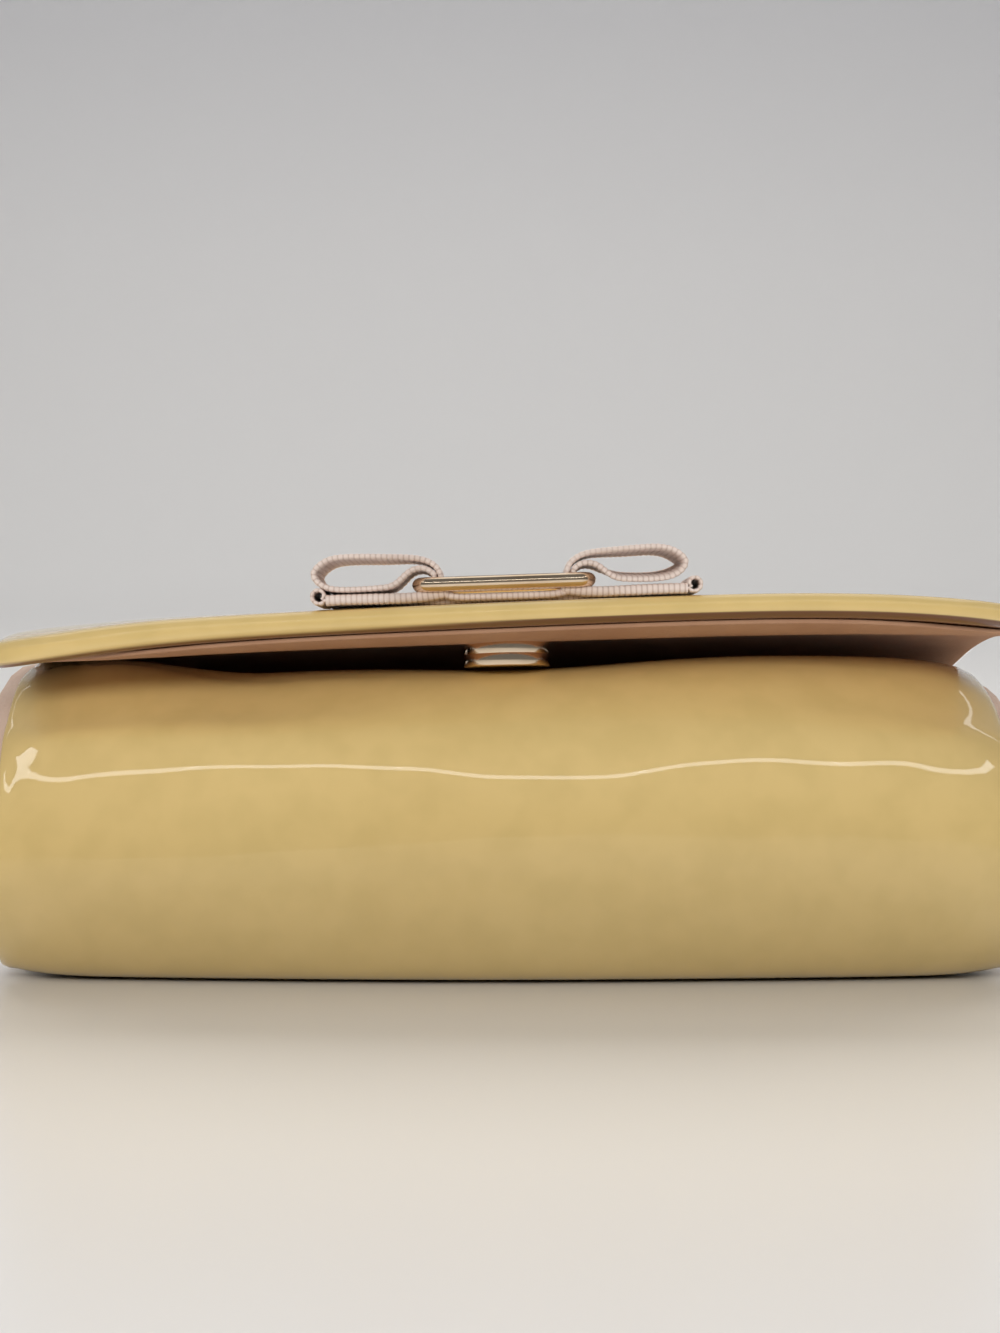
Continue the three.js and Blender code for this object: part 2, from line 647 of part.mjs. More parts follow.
// The buckle: a rounded plate with a slot before each end bar
function buckle() {
  const bevel = 0.6;
  const plate = roundedPlate(BUCKLE_LENGTH - 2 * bevel, BUCKLE_WIDTH - 2 * bevel, BUCKLE_CORNER - bevel);
  const whole = new THREE.ExtrudeGeometry(plate, {
    depth: BUCKLE_THICK - 2 * bevel,
    bevelThickness: bevel,
    bevelSize: bevel,
    bevelSegments: 2,
    curveSegments: 5,
  }).translate(BUCKLE_OFFSET, 0, BUCKLE_BASE + bevel);
  const slots = [-1, 1].map((side) =>
    new THREE.BoxGeometry(SLOT, BUCKLE_WIDTH - 2 * SLOT_END_WALL, 3 * BUCKLE_THICK).translate(
      BUCKLE_OFFSET + side * (BAR_INNER - SLOT / 2),
      0,
      BUCKLE_BASE,
    ),
  );
  return cut(whole, ...slots);
}

add("bow_tail_left", bowTail(-1), grosgrain, bow);
add("bow_tail_right", bowTail(1), grosgrain, bow);
add("bow_loop_left", bowLoop(-1, LOOP_REACH.left), grosgrain, bow);
add("bow_loop_right", bowLoop(1, LOOP_REACH.right), grosgrain, bow);
add("bow_band", bowBand(), grosgrain, bow);
add("bow_buckle", buckle(), gold, bow);

// Tabs and rings: each tab lies on its gusset's rim and wraps the straight bar of a ring
const BAR_Y = MOUTH_Y + TAB_REACH;
const TAB_X = BAG_WIDTH / 2 - TAB_IN;
const RIM_TOP = sectionLine(BAG_WIDTH / 2)[0].z + RIM_OUTER + GUSSET_LEATHER;
const TAB_Z = RIM_TOP + GAP + TAB_THICK / 2; // middle of the tab and of the ring

function tab() {
  const length = TAB_REACH + TAB_SEWN;
  const tongue = new THREE.BoxGeometry(TAB_WIDTH, length, TAB_THICK).translate(0, -length / 2, 0);
  const across = (radius, width, sides) =>
    new THREE.CylinderGeometry(radius, radius, width, sides).rotateZ(Math.PI / 2);
  const loop = across(RING_WIRE + GAP + LOOP_LEATHER, TAB_WIDTH, 16);
  return cut(joined(tongue, loop), across(RING_WIRE + GAP, TAB_WIDTH + 2, 16));
}

function ringPath() {
  const [half, length] = [RING_WIDTH / 2, RING_LENGTH];
  return new THREE.CatmullRomCurve3(
    [
      [-half * 0.8, 0],
      [0, 0],
      [half * 0.8, 0],
      [half, half * 0.25],
      [half * 0.86, length * 0.6],
      [half * 0.5, length * 0.92],
      [0, length],
      [-half * 0.5, length * 0.92],
      [-half * 0.86, length * 0.6],
      [-half, half * 0.25],
    ].map(([x, y]) => new THREE.Vector3(x, y, 0)),
    true,
    "catmullrom",
    0.5,
  );
}

for (const [side, name] of [[-1, "left"], [1, "right"]]) {
  const place = (mesh) => mesh.position.set(side * TAB_X, BAR_Y, TAB_Z);
  place(add(`tab_${name}`, tab(), patent));
  place(add(`ring_${name}`, wireRing(ringPath(), RING_WIRE, 6, 32), gold));
}

// The chain as a tube: out of one ring, four legs with three turns between them, into the other ring
const CHAIN_START = BAR_Y + RING_LENGTH + RING_WIRE + GAP;
const CHAIN_TURN = TAB_X / 3;
const END_HANG = 1.5; // how far its end hangs below the ring's plane
const END_DROP = TAB_Z - END_HANG - CHAIN_RADIUS; // from there down to the table
const END_RUN = 18; // over this length

const TURN_STEPS = 6;

function chainPath() {
  const path = [];
  const to = (x, y, z = 0) => path.push(new THREE.Vector3(x, y, z + CHAIN_RADIUS));
  const [landing, near] = [CHAIN_START + END_RUN, CHAIN_START + CHAIN_TURN];
  const far = CHAIN_START + CHAIN_LEG;
  const leg = (x, from, until) => [0.15, 0.5, 0.85].forEach((share) => to(x, lerp(from, until, share)));
  const bend = (x, y, side) => {
    for (let i = 0; i <= TURN_STEPS; i++) {
      const angle = (i / TURN_STEPS) * Math.PI;
      to(x - CHAIN_TURN * Math.cos(angle), y + side * CHAIN_TURN * Math.sin(angle));
    }
  };
  to(-TAB_X, CHAIN_START, END_DROP);
  to(-TAB_X, landing);
  leg(-TAB_X, landing, far);
  bend(-2 * CHAIN_TURN, far, 1);
  leg(-CHAIN_TURN, far, near);
  bend(0, near, -1);
  leg(CHAIN_TURN, near, far);
  bend(2 * CHAIN_TURN, far, 1);
  leg(TAB_X, far, landing);
  to(TAB_X, landing);
  to(TAB_X, CHAIN_START, END_DROP);
  return new THREE.CatmullRomCurve3(path, false, "centripetal");
}

function chain() {
  const section = new THREE.Shape();
  const sides = 8;
  for (let i = 0; i < sides; i++) {
    const angle = ((i + 0.5) / sides) * 2 * Math.PI;
    const [x, y] = [CHAIN_RADIUS * Math.cos(angle), CHAIN_RADIUS * Math.sin(angle)];
    if (i === 0) section.moveTo(x, y);
    else section.lineTo(x, y);
  }
  return new THREE.ExtrudeGeometry(section, { steps: 80, extrudePath: chainPath(), bevelEnabled: false });
}

add("chain", chain(), gold);

export default bag;
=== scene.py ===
import math

import bmesh
import bpy
from mathutils import Matrix, Vector


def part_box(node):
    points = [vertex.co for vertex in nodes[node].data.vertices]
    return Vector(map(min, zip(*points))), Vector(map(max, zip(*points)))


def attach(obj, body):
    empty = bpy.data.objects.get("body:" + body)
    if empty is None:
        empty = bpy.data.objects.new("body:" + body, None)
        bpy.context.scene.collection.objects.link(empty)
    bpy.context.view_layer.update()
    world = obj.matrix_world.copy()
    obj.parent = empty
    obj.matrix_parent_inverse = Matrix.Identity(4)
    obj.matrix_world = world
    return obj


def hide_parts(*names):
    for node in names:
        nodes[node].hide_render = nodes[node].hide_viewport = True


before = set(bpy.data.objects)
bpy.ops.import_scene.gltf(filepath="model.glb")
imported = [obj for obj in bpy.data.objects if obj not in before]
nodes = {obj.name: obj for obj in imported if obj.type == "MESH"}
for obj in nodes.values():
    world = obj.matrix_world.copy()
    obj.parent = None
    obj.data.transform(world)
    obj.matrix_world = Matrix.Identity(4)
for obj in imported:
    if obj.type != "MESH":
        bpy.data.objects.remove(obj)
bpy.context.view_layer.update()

# The bag's own lengths are in millimetres. The materials, the stage and the lamps work in metres.
MM = 0.001


# Materials

# The colour sockets of a Mix node
FIRST_COLOUR = 6
SECOND_COLOUR = 7
MIXED_COLOUR = 2

# Marks that the pieces carry for their materials
# Dark brown on the flap's turned edge where it faces down: partly edge paint, partly painted shade
EDGE_PAINT_AND_SHADE = "edge_paint_and_shade"
# Painted shade in the grooves between the ribbon's ribs
RIB_SHADE = "rib_shade"


def set_sockets(node, **values):
    """Sets a node's sockets. An underscore stands for the space in a socket's name."""
    for key, value in values.items():
        node.inputs[key.replace("_", " ")].default_value = value


def new_material(name):
    """A material and its Principled shader."""
    made = bpy.data.materials.new(name)
    made.use_nodes = True
    return made, made.node_tree.nodes["Principled BSDF"]


def add_node(material, kind, **values):
    made = material.node_tree.nodes.new(kind)
    set_sockets(made, **values)
    return made


def join(material, out_socket, in_socket):
    material.node_tree.links.new(out_socket, in_socket)


def colour_ramp(material, source, start, end, start_colour, end_colour):
    """Turns a value from start to end into a colour from the first to the second."""
    made = add_node(material, "ShaderNodeValToRGB")
    first, last = made.color_ramp.elements
    first.position = start
    first.color = (*start_colour, 1)
    last.position = end
    last.color = (*end_colour, 1)
    join(material, source, made.inputs["Fac"])
    return made.outputs["Color"]


def leather_tint(material, scale, dark, light):
    """The place on the object, and a cloudy mix of two tones by it."""
    place = add_node(material, "ShaderNodeTexCoord").outputs["Object"]
    cloud = add_node(material, "ShaderNodeTexNoise", Scale=scale, Detail=4.0, Roughness=0.55)
    join(material, place, cloud.inputs["Vector"])
    return place, colour_ramp(material, cloud.outputs["Fac"], 0.28, 0.72, dark, light)


def marked(material, mark_name, colour, mark_colour):
    """A colour that turns into the mark's own where a piece carries that mark."""
    mark = add_node(material, "ShaderNodeAttribute")
    mark.attribute_name = mark_name
    made = add_node(material, "ShaderNodeMix")
    made.data_type = "RGBA"
    made.inputs[SECOND_COLOUR].default_value = (*mark_colour, 1)
    join(material, mark.outputs["Fac"], made.inputs["Factor"])
    join(material, colour, made.inputs[FIRST_COLOUR])
    return made.outputs[MIXED_COLOUR]


def add_relief(material, place, texture, strength, depth, normal_socket):
    """A fine relief from a texture."""
    bump = add_node(material, "ShaderNodeBump", Strength=strength, Distance=depth)
    join(material, place, texture.inputs["Vector"])
    join(material, texture.outputs[0], bump.inputs["Height"])
    join(material, bump.outputs["Normal"], normal_socket)


def patent_leather():
    """Gold leather under clear lacquer, with painted shade darkening it low down and, where a piece is
    marked, a dark brown that is partly edge paint and partly painted shade.
    """
    made, shader = new_material("patent_leather")
    place, tint = leather_tint(made, 16.0, (0.80, 0.58, 0.228), (0.825, 0.61, 0.247))
    mottle = add_node(made, "ShaderNodeTexNoise", Scale=120.0, Detail=2.0)
    join(made, place, mottle.inputs["Vector"])
    speck = colour_ramp(made, mottle.outputs["Fac"], 0.35, 0.6, (0.93, 0.93, 0.90), (1, 1, 1))
    speckled = add_node(made, "ShaderNodeMix")
    speckled.data_type = "RGBA"
    speckled.blend_type = "MULTIPLY"
    speckled.inputs["Factor"].default_value = 0.8
    join(made, tint, speckled.inputs[FIRST_COLOUR])
    join(made, speck, speckled.inputs[SECOND_COLOUR])
    # Painted shade: the colour is scaled from 0.72 at the floor up to full strength 42 mm up, darker low
    # down where less light reaches.
    height = add_node(made, "ShaderNodeSeparateXYZ")
    painted_shade_low = add_node(made, "ShaderNodeMapRange", From_Min=-0.004, From_Max=0.042, To_Min=0.72, To_Max=1.0)
    painted_shade_low.interpolation_type = "SMOOTHSTEP"
    toned = add_node(made, "ShaderNodeVectorMath")
    toned.operation = "SCALE"
    join(made, place, height.inputs["Vector"])
    join(made, height.outputs["Z"], painted_shade_low.inputs["Value"])
    join(made, speckled.outputs[MIXED_COLOUR], toned.inputs[0])
    join(made, painted_shade_low.outputs["Result"], toned.inputs["Scale"])
    # Where a piece is marked, a dark brown that is partly edge paint and partly painted shade.
    edged = marked(made, EDGE_PAINT_AND_SHADE, toned.outputs[0], (0.15, 0.055, 0.018))
    join(made, edged, shader.inputs["Base Color"])
    grain = add_node(made, "ShaderNodeTexNoise", Scale=330.0, Detail=2.0)
    add_relief(made, place, grain, 0.10, 0.00025, shader.inputs["Normal"])
    ripple = add_node(made, "ShaderNodeTexNoise", Scale=55.0, Detail=1.0)
    add_relief(made, place, ripple, 0.05, 0.0006, shader.inputs["Coat Normal"])
    set_sockets(shader, Roughness=0.42, Specular_IOR_Level=0.4)
    set_sockets(shader, Coat_Weight=1.0, Coat_Roughness=0.035, Coat_IOR=1.5)
    return made


def pale_leather():
    made, shader = new_material("pale_leather")
    place, tint = leather_tint(made, 45.0, (0.64, 0.46, 0.37), (0.72, 0.55, 0.45))
    join(made, tint, shader.inputs["Base Color"])
    grain = add_node(made, "ShaderNodeTexVoronoi", Scale=900.0)
    add_relief(made, place, grain, 0.5, 0.0002, shader.inputs["Normal"])
    set_sockets(shader, Roughness=0.52, Specular_IOR_Level=0.35)
    return made


def flap_suede():
    made, shader = new_material("flap_suede")
    place, tint = leather_tint(made, 70.0, (0.44, 0.24, 0.145), (0.53, 0.31, 0.195))
    join(made, tint, shader.inputs["Base Color"])
    nap = add_node(made, "ShaderNodeTexNoise", Scale=1400.0, Detail=3.0)
    add_relief(made, place, nap, 0.6, 0.0002, shader.inputs["Normal"])
    set_sockets(shader, Roughness=0.85, Specular_IOR_Level=0.2, Sheen_Weight=0.05, Sheen_Roughness=0.5)
    return made


def ribbon_cloth():
    """Pale ribbed ribbon, with painted shade darkening the grooves between its ribs."""
    made, shader = new_material("ribbon_cloth")
    place, tint = leather_tint(made, 260.0, (0.85, 0.71, 0.64), (0.92, 0.785, 0.715))
    join(made, marked(made, RIB_SHADE, tint, (0.64, 0.49, 0.42)), shader.inputs["Base Color"])
    weave = add_node(made, "ShaderNodeTexNoise", Scale=2600.0, Detail=2.0)
    add_relief(made, place, weave, 0.5, 0.00015, shader.inputs["Normal"])
    set_sockets(shader, Roughness=0.62, Sheen_Weight=0.3, Sheen_Roughness=0.4)
    return made


def gold_metal():
    made, shader = new_material("gold_metal")
    place, tint = leather_tint(made, 140.0, (0.82, 0.63, 0.44), (0.92, 0.75, 0.56))
    join(made, tint, shader.inputs["Base Color"])
    wear = add_node(made, "ShaderNodeTexNoise", Scale=500.0, Detail=2.0)
    add_relief(made, place, wear, 0.08, 0.0001, shader.inputs["Normal"])
    set_sockets(shader, Metallic=1.0, Roughness=0.13)
    return made


PATENT = patent_leather()
PALE = pale_leather()
SUEDE = flap_suede()
RIBBON = ribbon_cloth()
GOLD = gold_metal()


# Making and finishing meshes

# Corners closer than this are merged, in a CAD node's shape and in a skin made here
SAME_CORNER = 0.002
SAME_PLACE = 0.001

UP = Vector((0, 0, 1))


def eased(value, start, end):
    """0 up to start, 1 from end on, and a soft step between them."""
    share = min(max((value - start) / (end - start), 0.0), 1.0)
    return share * share * (3 - 2 * share)


def between(table, x):
    """The value at x in a table of places and values, in soft steps from one to the next."""
    value = table[0][1] if x < table[0][0] else table[-1][1]
    for (from_x, start), (to_x, end) in zip(table, table[1:]):
        if from_x <= x <= to_x:
            value = start + (end - start) * eased(x, from_x, to_x)
    return value


def merged_copy(node):
    """A bmesh of a CAD node's own shape, with its loose triangles merged and paired into quads."""
    shape = bmesh.new()
    shape.from_mesh(nodes[node].data)
    bmesh.ops.remove_doubles(shape, verts=shape.verts, dist=SAME_CORNER * MM)
    bmesh.ops.join_triangles(
        shape,
        faces=shape.faces,
        angle_face_threshold=math.radians(50),
        angle_shape_threshold=math.radians(60),
    )
    return shape


def swept(steps, around, place, mark=None, mark_name=""):
    """A closed skin. place(u, v) gives its point at a share u along it and a share v around it."""
    shape = bmesh.new()
    bmesh.ops.create_grid(shape, x_segments=steps, y_segments=around, size=0.5)
    marks = shape.verts.layers.float.new(mark_name) if mark else None
    for vert in shape.verts:
        u, v = vert.co.x + 0.5, vert.co.y + 0.5
        if mark:
            vert[marks] = mark(u, v)
        vert.co = place(u, v) * MM
    bmesh.ops.remove_doubles(shape, verts=shape.verts, dist=SAME_PLACE * MM)
    bmesh.ops.holes_fill(shape, edges=shape.edges, sides=0)
    bmesh.ops.recalc_face_normals(shape, faces=shape.faces)
    return shape


def to_mesh(shape, name, sharp=None):
    """A smooth-shaded mesh. Edges above the sharp angle, if one is given, stay crisp."""
    mesh = bpy.data.meshes.new(name)
    shape.to_mesh(mesh)
    shape.free()
    for face in mesh.polygons:
        face.use_smooth = True
    if sharp:
        mesh.set_sharp_from_angle(angle=math.radians(sharp))
    return mesh


def round_edges(shape, width, angle=40, segments=3):
    """Bevels the edges that are sharper than an angle."""
    limit = math.radians(angle)
    bmesh.ops.bevel(
        shape,
        geom=[edge for edge in shape.edges if edge.is_manifold and edge.calc_face_angle() > limit],
        offset=width * MM,
        offset_type="OFFSET",
        affect="EDGES",
        segments=segments,
        profile=0.5,
        material=-1,
        clamp_overlap=True,
    )
    return shape


def subdivided(shape, levels):
    """The same shape with a Subdivision Surface worked in."""
    mesh = to_mesh(shape, "work")
    holder = bpy.data.objects.new("work", mesh)
    bpy.context.scene.collection.objects.link(holder)
    smooth = holder.modifiers.new("smooth", "SUBSURF")
    smooth.levels = levels
    smooth.render_levels = levels
    dense = bpy.data.meshes.new_from_object(holder.evaluated_get(bpy.context.evaluated_depsgraph_get()))
    bpy.data.objects.remove(holder)
    bpy.data.meshes.remove(mesh)
    fine = bmesh.new()
    fine.from_mesh(dense)
    bpy.data.meshes.remove(dense)
    return fine


def finish_piece(name, mesh, material, slot, *replaced):
    piece = bpy.data.objects.new(name, mesh)
    mesh.materials.append(material)
    bpy.context.scene.collection.objects.link(piece)
    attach(piece, "root")
    if replaced:
        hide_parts(*replaced)


def smooth_line(points, count):
    """Places evenly along a curve through the given points, each with its direction, and the length."""
    points = [Vector(point) for point in points]
    ends = [2 * points[0] - points[1], *points, 2 * points[-1] - points[-2]]
    parts = 16
    fine = []
    for a, b, c, d in zip(ends, ends[1:], ends[2:], ends[3:]):
        slope = c - a
        bend = 2 * a - 5 * b + 4 * c - d
        twist = 3 * b - a - 3 * c + d
        for i in range(parts):
            t = i / parts
            fine.append(0.5 * (2 * b + slope * t + bend * t**2 + twist * t**3))
    fine.append(points[-1])
    reached = [0.0]
    for a, b in zip(fine, fine[1:]):
        reached.append(reached[-1] + (b - a).length)
    places = []
    at = 0
    for i in range(count):
        want = reached[-1] * i / (count - 1)
        while at < len(fine) - 2 and reached[at + 1] < want:
            at += 1
        share = (want - reached[at]) / max(reached[at + 1] - reached[at], 1e-9)
        places.append((fine[at].lerp(fine[at + 1], share), (fine[at + 1] - fine[at]).normalized()))
    return places, reached[-1]


def flat_sides(node):
    """The directions that a node's faces look in, those with the most area first."""
    sums = {}
    for face in nodes[node].data.polygons:
        key = tuple(round(part, 2) for part in face.normal)
        area, total = sums.get(key, (0.0, Vector()))
        sums[key] = (area + face.area, total + face.normal * face.area)
    return [total.normalized() for area, total in sorted(sums.values(), key=lambda found: -found[0])]


def towards(directions, axis):
    """The one of these directions that looks most along an axis."""
    return max(directions, key=lambda way: way.dot(axis))


# The body

BODY_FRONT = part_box("body_shell")[0].y / MM
PANEL_SIDE = 93
PANEL_SMOOTHINGS = 12
LEFT_LIFT = 3.7
LEFT_RIM_PUSH = Vector((-1.5, 0, 0.8))

# The height at which the sheen runs along the front panel, and how far above and below it the panel waves
SHEEN_Z = 40.0
SHEEN_REACH = 12.0

# How far the panel tips at that height, at places across the bag
SHEEN_TILT = (
    (-97, 0.13),
    (-86, 0.11),
    (-76, 0.15),
    (-57, 0.14),
    (-38, 0.09),
    (-19, 0.044),
    (-1, -0.03),
    (17, -0.043),
    (35, 0.018),
    (44, 0.03),
    (62, 0.0),
    (72, 0.007),
    (82, -0.03),
    (97, -0.02),
)

# How far the front fold under the flap sags, at places across the bag
FOLD_SAG = (
    (-97, 7.4),
    (-90, 6.6),
    (-81, 5.6),
    (-69, 4.6),
    (-53, 4.0),
    (-30, 3.2),
    (-15, 2.2),
    (15, 1.8),
    (45, 2.0),
    (70, 3.2),
    (88, 4.6),
    (97, 5.0),
)


def body_dent(x, z):
    """How far the soft panel stands out for the waves in its sheen."""
    over = (z - SHEEN_Z) / SHEEN_REACH
    return between(SHEEN_TILT, x) * SHEEN_REACH * over * math.exp(-over * over)


def lift_left_corner(shape):
    """The left end of the mouth stands up under the flap."""
    for vert in shape.verts:
        place = vert.co / MM
        vert.co.z += LEFT_LIFT * MM * eased(-place.x, 46, 80) * eased(place.z, 40, 53)


def sag_fold(shape):
    """The front fold hangs lower than the panel behind it."""
    for vert in shape.verts:
        place = vert.co / MM
        hang = eased(place.z, 44, 57) * (1 - eased(place.y - BODY_FRONT, 12, 34))
        vert.co.z -= between(FOLD_SAG, place.x) * hang * MM


def body_panel():
    shape = subdivided(round_edges(merged_copy("body_shell"), 0.5, angle=55, segments=2), 2)
    shape.normal_update()
    side = PANEL_SIDE * MM
    panel = [vert for vert in shape.verts if vert.normal.y < -0.05 and abs(vert.co.x) < side]
    for _ in range(PANEL_SMOOTHINGS):
        bmesh.ops.smooth_vert(
            shape,
            verts=panel,
            factor=0.5,
            use_axis_x=True,
            use_axis_y=True,
            use_axis_z=True,
        )
    shape.normal_update()
    for vert in shape.verts:
        place = vert.co / MM
        if vert.normal.y < -0.2:
            vert.co += vert.normal * body_dent(place.x, place.z) * MM
    lift_left_corner(shape)
    sag_fold(shape)
    finish_piece("body_panel", to_mesh(shape, "body_panel"), PATENT, "patent_leather", "body_shell")


def gussets():
    """The folded ends. The left one's rim is pushed out and up, and the right one sags with the fold."""
    for side in ("left", "right"):
        node = "gusset_" + side
        shape = round_edges(merged_copy(node), 0.45, angle=45, segments=3)
        if side == "left":
            for vert in shape.verts:
                rim = eased(-vert.co.x / MM, PANEL_SIDE, 95) * eased(vert.co.z / MM, 22, 44)
                vert.co += LEFT_RIM_PUSH * rim * MM
            lift_left_corner(shape)
        else:
            sag_fold(shape)
        finish_piece(node + "_leather", to_mesh(shape, node, sharp=50), PALE, "pale_leather", node)


# The flap and its lining

FLAP_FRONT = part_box("flap")[0].y / MM
LINING_RISE = 0.55
LINING_LEFT_RISE = 1.2
LINING_PUFF = 1.7
LINING_HALF = 97


def flap_outer():
    """The patent flap, with its underside's turned edge dark brown where it faces down: partly edge paint,
    partly painted shade.
    """
    shape = subdivided(merged_copy("flap"), 2)
    shape.normal_update()
    paint_and_shade = shape.verts.layers.float.new(EDGE_PAINT_AND_SHADE)
    for vert in shape.verts:
        leftward = -vert.co.x / MM
        start = 0.42 + 0.2 * eased(leftward, -20, 40)
        # The more the edge faces down, the more of the dark brown edge paint and painted shade it gets.
        vert[paint_and_shade] = eased(-vert.normal.z, start, start + 0.2)
        vert.co.z += 0.4 * MM * eased(leftward, 40, 75) * eased(vert.normal.z, -0.2, 0.6)
    finish_piece("flap_outer", to_mesh(shape, "flap_outer"), PATENT, "patent_leather", "flap")


def flap_inner():
    """The lining, tight to the flap's edge and puffed out a little behind it."""
    shape = subdivided(round_edges(merged_copy("flap_lining"), 0.3, angle=60, segments=2), 1)
    for vert in shape.verts:
        x, back = vert.co.x / MM, vert.co.y / MM - FLAP_FRONT
        puff = eased(back, 0.8, 13) * (1 - eased(back, 15, 25)) * (1 - (x / LINING_HALF) ** 4)
        rise = LINING_RISE + LINING_LEFT_RISE * eased(-x, 68, 92)
        vert.co.z += (rise - LINING_PUFF * max(puff, 0.0)) * MM
    finish_piece("flap_inner", to_mesh(shape, "flap_inner"), SUEDE, "pale_leather", "flap_lining")


# The magnetic snap: two turned discs

def snap_disc(node, name, deeper=0.0):
    """A disc turned on a lathe, on the node's own axis, with rounded rims. It can reach deeper down."""
    low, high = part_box(node)
    axis = towards(flat_sides(node), UP)
    centre = (low + high) / 2
    spokes = [vert.co - centre for vert in nodes[node].data.vertices]
    reach = [spoke.dot(axis) / MM for spoke in spokes]
    radius = max((spoke - axis * spoke.dot(axis)).length for spoke in spokes) / MM
    bottom, top = min(reach) - deeper, max(reach)
    shape = bmesh.new()
    profile = [
        (0.0, bottom),
        (radius - 0.35, bottom),
        (radius - 0.1, bottom + 0.1),
        (radius, bottom + 0.35),
        (radius, top - 0.35),
        (radius - 0.1, top - 0.1),
        (radius - 0.35, top),
        (0.0, top),
    ]
    points = [shape.verts.new(Vector((across, 0, along)) * MM) for across, along in profile]
    edges = [shape.edges.new(pair) for pair in zip(points, points[1:])]
    bmesh.ops.spin(
        shape,
        geom=points + edges,
        cent=(0, 0, 0),
        axis=(0, 0, 1),
        angle=2 * math.pi,
        steps=72,
        use_merge=True,
    )
    bmesh.ops.remove_doubles(shape, verts=shape.verts, dist=SAME_PLACE * MM)
    bmesh.ops.recalc_face_normals(shape, faces=shape.faces)
    turn = UP.rotation_difference(axis).to_matrix().to_4x4()
    bmesh.ops.transform(shape, matrix=Matrix.Translation(centre) @ turn, verts=shape.verts)
    finish_piece(name, to_mesh(shape, name, sharp=35), GOLD, "gold_metal", node)


# The bow, in a frame of its own: X along it, Z off the flap

def bow_frame():
    sides = flat_sides("bow_band")
    along = towards(sides, Vector((1, 0, 0)))
    off = towards(sides, UP)
    low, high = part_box("bow_band")
    turn = Matrix((along, off.cross(along), off)).transposed().to_4x4()
    return Matrix.Translation((low + high) / 2) @ turn


BOW = bow_frame()
BOW_BACK = BOW.inverted()


def bow_box(node):
    """A node's lowest and highest places in the bow's frame."""
    places = [BOW_BACK @ vert.co / MM for vert in nodes[node].data.vertices]
    return [Vector(pick(place[i] for place in places) for i in range(3)) for pick in (min, max)]


BAND_LOW, BAND_HIGH = bow_box("bow_band")
BUCKLE_LOW, BUCKLE_HIGH = bow_box("bow_buckle")
END_BAR = 3.3
RIM_SIDE = 1.6
PLATE_CORNER = 3.4
LOOP_THICK = 1.1
TAIL_THICK = 2.0
HEM_THICK = 0.75
HEM_ROLL = 1.5
RIB_PITCH = 1.0
RIB_HEIGHT = 0.05

# The ribbon's long edges, from this share of its half width outwards, are thinner by a share and bulge
EDGE_FROM = 0.93
EDGE_THINNING = 0.35
EDGE_BULGE = 0.12

# How many strips of the ribbon's skin lie across each face
RIBBON_ACROSS = 14
RIBBON_HALF = 12.4
WAIST_HALF = (BUCKLE_HIGH.y - BUCKLE_LOW.y) / 2 - 2


def ribbon_half(x):
    """Half the ribbon's width, which draws in towards the buckle."""
    return WAIST_HALF + (RIBBON_HALF - WAIST_HALF) * eased(abs(x), 13, 25)


def ribbon_section(v):
    """A point round the ribbon's section: its place across from -1 to 1, and the face it is on."""
    at = v * (2 * RIBBON_ACROSS + 4)
    if at <= RIBBON_ACROSS:
        return -1 + 2 * at / RIBBON_ACROSS, 1.0
    if at <= RIBBON_ACROSS + 2:
        return 1.0, 1 - (at - RIBBON_ACROSS)
    if at <= 2 * RIBBON_ACROSS + 2:
        return 1 - 2 * (at - RIBBON_ACROSS - 2) / RIBBON_ACROSS, -1.0
    return -1.0, -1 + (at - 2 * RIBBON_ACROSS - 2)


def ribbon_piece(name, line, thick, node, half_at=ribbon_half, lean=None):
    """A ribbed ribbon that follows a line in the bow's X-Z plane. lean(place) raises its far edge there."""
    points = [(x, 0, z) for x, z in line]
    _, length = smooth_line(points, 8)
    steps = max(8, round(length / RIB_PITCH * 4))
    places, _ = smooth_line(points, steps + 1)
    ribs = 2 * math.pi * length / RIB_PITCH

    def place(u, v):
        centre, way = places[round(u * steps)]
        wide, face = ribbon_section(v)
        thinned = 1 - EDGE_THINNING * max(0, abs(wide) - EDGE_FROM) / (1 - EDGE_FROM)
        off = face * (thick / 2 + RIB_HEIGHT * math.cos(ribs * u)) * thinned
        bulge = EDGE_BULGE * (1 - abs(face)) if abs(wide) > 0.99 else 0
        rise = lean(centre) * (wide + 1) / 2 if lean else 0.0
        out = Vector((-way.z, 0, way.x))
        return centre + out * off + Vector((0, wide * (half_at(centre.x) + bulge), rise))

    # Painted shade: how deep a point lies in a groove between two ribs, which darkens the ribbon's colour
    # there.
    def groove(u, v):
        return max(0.0, -math.cos(ribs * u)) ** 4

    shape = swept(steps, 2 * RIBBON_ACROSS + 4, place, groove, RIB_SHADE)
    bmesh.ops.transform(shape, matrix=BOW, verts=shape.verts)
    finish_piece(name, to_mesh(shape, name, sharp=70), RIBBON, "ribbon", *([node] if node else []))


